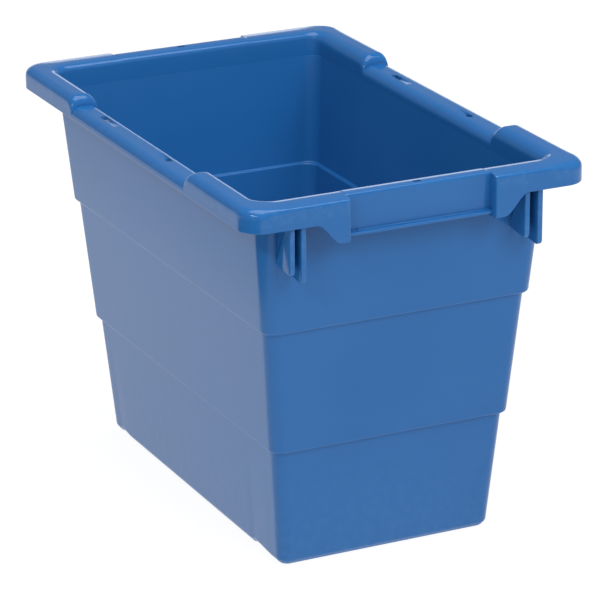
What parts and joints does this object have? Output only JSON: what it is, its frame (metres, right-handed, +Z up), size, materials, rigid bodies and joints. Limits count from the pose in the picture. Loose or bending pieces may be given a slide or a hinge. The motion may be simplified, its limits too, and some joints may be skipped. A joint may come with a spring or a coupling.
{
  "type": "stackable storage bin",
  "caption": "Rectangular tapered tub with stepped walls, an open top, a hooded rim that carries a second bin laid across it, and a grip at each end.",
  "frame": {"origin": "on the ground under the middle of the bin", "axes": "+X along the length to the front end, +Y to the left long side, +Z up out of the open top"},
  "size_m": [0.4382, 0.2794, 0.3048],
  "materials": {
    "tub_plastic": "satin moulded polypropylene, blue right through",
    "rim_plastic": "semi-gloss moulded polypropylene, blue right through"
  },
  "bodies": {
    "root": {"ear_back_left": "rim_plastic", "ear_back_right": "rim_plastic", "ear_front_left": "rim_plastic", "ear_front_right": "rim_plastic", "floor_pan": "tub_plastic", "foot_end_back": "tub_plastic", "foot_end_front": "tub_plastic", "foot_side_left": "tub_plastic", "foot_side_right": "tub_plastic", "grip_back": "rim_plastic", "grip_front": "rim_plastic", "gusset_back_left": "rim_plastic", "gusset_back_right": "rim_plastic", "gusset_front_left": "rim_plastic", "gusset_front_right": "rim_plastic", "lower_wall": "tub_plastic", "middle_wall": "tub_plastic", "rib_back_inner_left": "rim_plastic", "rib_back_inner_right": "rim_plastic", "rib_back_outer_left": "rim_plastic", "rib_back_outer_right": "rim_plastic", "rib_front_inner_left": "rim_plastic", "rib_front_inner_right": "rim_plastic", "rib_front_outer_left": "rim_plastic", "rib_front_outer_right": "rim_plastic", "rim_corner_back_left": "rim_plastic", "rim_corner_back_right": "rim_plastic", "rim_corner_front_left": "rim_plastic", "rim_corner_front_right": "rim_plastic", "rim_side_left": "rim_plastic", "rim_side_right": "rim_plastic", "upper_wall": "tub_plastic"}
  },
  "joints": []
}
